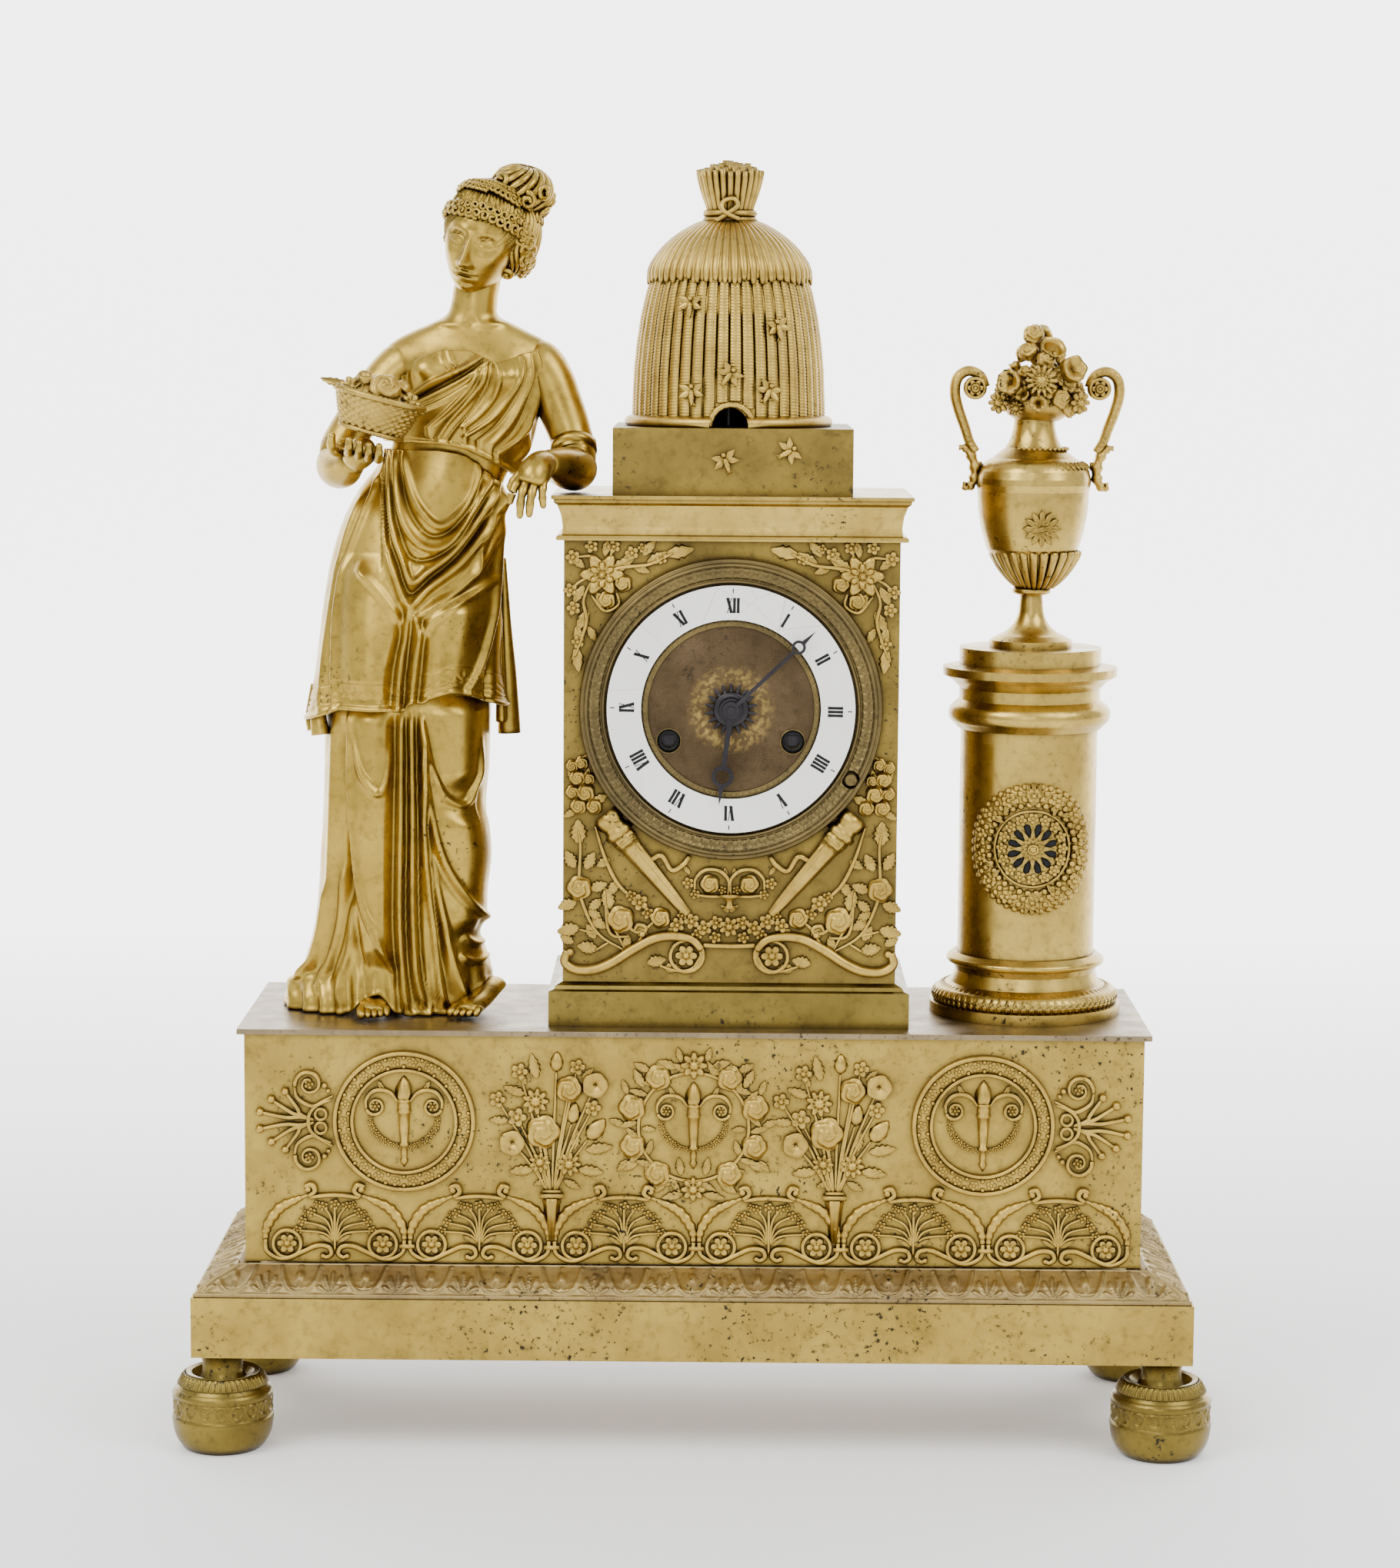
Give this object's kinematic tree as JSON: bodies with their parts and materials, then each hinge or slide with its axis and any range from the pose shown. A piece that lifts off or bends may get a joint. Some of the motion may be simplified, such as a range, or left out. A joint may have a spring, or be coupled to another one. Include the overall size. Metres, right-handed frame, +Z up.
{
  "type": "figural mantel clock",
  "caption": "Gilt bronze mantel clock: draped woman with a flower basket leaning on a case with round dial under a beehive, and an urn on a column, on a long footed plinth.",
  "frame": {"origin": "on the surface it stands on, under the middle of the base", "axes": "+Z up, the dial faces -Y, +X to the viewer's right"},
  "size_m": [0.389, 0.1452, 0.4805],
  "materials": {
    "matt_gilding": "matt gilt bronze",
    "burnished_gilding": "burnished gilt bronze, worn",
    "dark_gilding": "dark, satin gilt brass",
    "dial_gilding": "engine-turned gilt brass, satin",
    "white_enamel": "glossy white enamel with black numerals",
    "movement_brass": "polished brass",
    "blued_steel": "polished, tempered steel",
    "bell_metal": "turned bell bronze"
  },
  "bodies": {
    "clock_body": {"feet": "burnished_gilding", "foot_studs": "blued_steel", "base_slab": "burnished_gilding", "leaf_moulding": "matt_gilding", "plinth_box": "matt_gilding", "plinth_top_plate": "burnished_gilding", "case_plinth": "burnished_gilding", "case_body": "matt_gilding", "door_hinge_pin": "blued_steel", "case_cornice": "burnished_gilding", "hive_block": "matt_gilding", "beehive": "matt_gilding", "hive_thatch": "matt_gilding", "straw_finial": "matt_gilding", "bees": "matt_gilding", "column_base": "burnished_gilding", "column_shaft": "matt_gilding", "column_capital": "burnished_gilding", "urn_foot": "burnished_gilding", "urn_body": "burnished_gilding", "urn_handles": "matt_gilding", "urn_flowers": "matt_gilding", "mounting_bolts": "blued_steel", "figure_skirt": "matt_gilding", "figure_torso": "matt_gilding", "figure_left_arm": "matt_gilding", "figure_left_forearm": "matt_gilding", "figure_right_arm": "matt_gilding", "flower_basket": "matt_gilding", "figure_head": "matt_gilding", "plinth_medallions": "matt_gilding", "plinth_bouquets": "matt_gilding", "plinth_wreath": "matt_gilding", "plinth_lunettes": "matt_gilding", "case_flower_sprays": "matt_gilding", "case_torches": "matt_gilding", "case_scrollwork": "matt_gilding", "column_wreath": "matt_gilding", "dial_plate": "dial_gilding", "chapter_ring": "white_enamel", "front_bezel": "dark_gilding", "dial_screws": "blued_steel", "movement_front_plate": "movement_brass", "movement_back_plate": "movement_brass", "bell": "bell_metal"},
    "minute_train": {"minute_hand": "dark_gilding", "centre_arbor": "movement_brass"},
    "hour_train": {"hour_hand": "dark_gilding", "hour_wheel": "movement_brass"},
    "motion_work": {"motion_wheel": "movement_brass"},
    "going_drum": {"going_barrel": "movement_brass"},
    "going_winder": {"going_arbor": "blued_steel"},
    "strike_drum": {"strike_barrel": "movement_brass"},
    "strike_winder": {"strike_arbor": "blued_steel"},
    "count_train": {"count_wheel": "movement_brass"},
    "escapement": {"escape_wheel": "movement_brass"},
    "pallets": {"pallet_anchor": "blued_steel"},
    "pendulum_swing": {"pendulum": "movement_brass"},
    "strike_hammer": {"hammer": "blued_steel"},
    "door": {"rear_door": "burnished_gilding"}
  },
  "joints": [
    {"name": "minute_turn", "type": "hinge", "parent": "clock_body", "child": "minute_train", "pos_m": [0.0127, 0, 0.2772], "axis": [0, 1, 0], "continuous": true},
    {"name": "hour_turn", "type": "hinge", "parent": "clock_body", "child": "hour_train", "pos_m": [0.0127, 0, 0.2772], "axis": [0, 1, 0], "continuous": true},
    {"name": "motion_wheel_turn", "type": "hinge", "parent": "clock_body", "child": "motion_work", "pos_m": [0.0127, 0, 0.2662], "axis": [0, 1, 0], "continuous": true},
    {"name": "going_barrel_turn", "type": "hinge", "parent": "clock_body", "child": "going_drum", "pos_m": [0.0357, 0, 0.2652], "axis": [0, 1, 0], "continuous": true},
    {"name": "going_winding", "type": "hinge", "parent": "clock_body", "child": "going_winder", "pos_m": [0.0357, 0, 0.2652], "axis": [0, 1, 0], "continuous": true},
    {"name": "strike_barrel_turn", "type": "hinge", "parent": "clock_body", "child": "strike_drum", "pos_m": [-0.0103, 0, 0.2652], "axis": [0, 1, 0], "continuous": true},
    {"name": "strike_winding", "type": "hinge", "parent": "clock_body", "child": "strike_winder", "pos_m": [-0.0103, 0, 0.2652], "axis": [0, 1, 0], "continuous": true},
    {"name": "count_wheel_turn", "type": "hinge", "parent": "clock_body", "child": "count_train", "pos_m": [-0.01481, 0, 0.29074], "axis": [0, 1, 0], "continuous": true},
    {"name": "escape_wheel_turn", "type": "hinge", "parent": "clock_body", "child": "escapement", "pos_m": [0.0127, 0, 0.30419], "axis": [0, 1, 0], "continuous": true},
    {"name": "pallet_swing", "type": "hinge", "parent": "clock_body", "child": "pallets", "pos_m": [0.0127, 0, 0.3177], "axis": [0, 1, 0], "range_deg": [-4, 4]},
    {"name": "pendulum_swing", "type": "hinge", "parent": "clock_body", "child": "pendulum_swing", "pos_m": [0.0127, 0.002, 0.3177], "axis": [0, 1, 0], "range_deg": [-4, 4]},
    {"name": "hammer_lift", "type": "hinge", "parent": "clock_body", "child": "strike_hammer", "pos_m": [0.0267, 0, 0.23619], "axis": [0, 1, 0], "range_deg": [0, 15]},
    {"name": "door_hinge", "type": "hinge", "parent": "clock_body", "child": "door", "pos_m": [0.0703, 0.0401, 0.26], "axis": [0, 0, -1], "range_deg": [0, 100]}
  ],
  "couplings": [
    {"joint": "hour_turn", "follows": "minute_turn", "ratio": 0.083333},
    {"joint": "motion_wheel_turn", "follows": "minute_turn", "ratio": -0.33333},
    {"joint": "going_barrel_turn", "follows": "minute_turn", "ratio": -0.25},
    {"joint": "count_wheel_turn", "follows": "strike_barrel_turn", "ratio": -4},
    {"joint": "pallet_swing", "follows": "pendulum_swing", "ratio": 1}
  ]
}
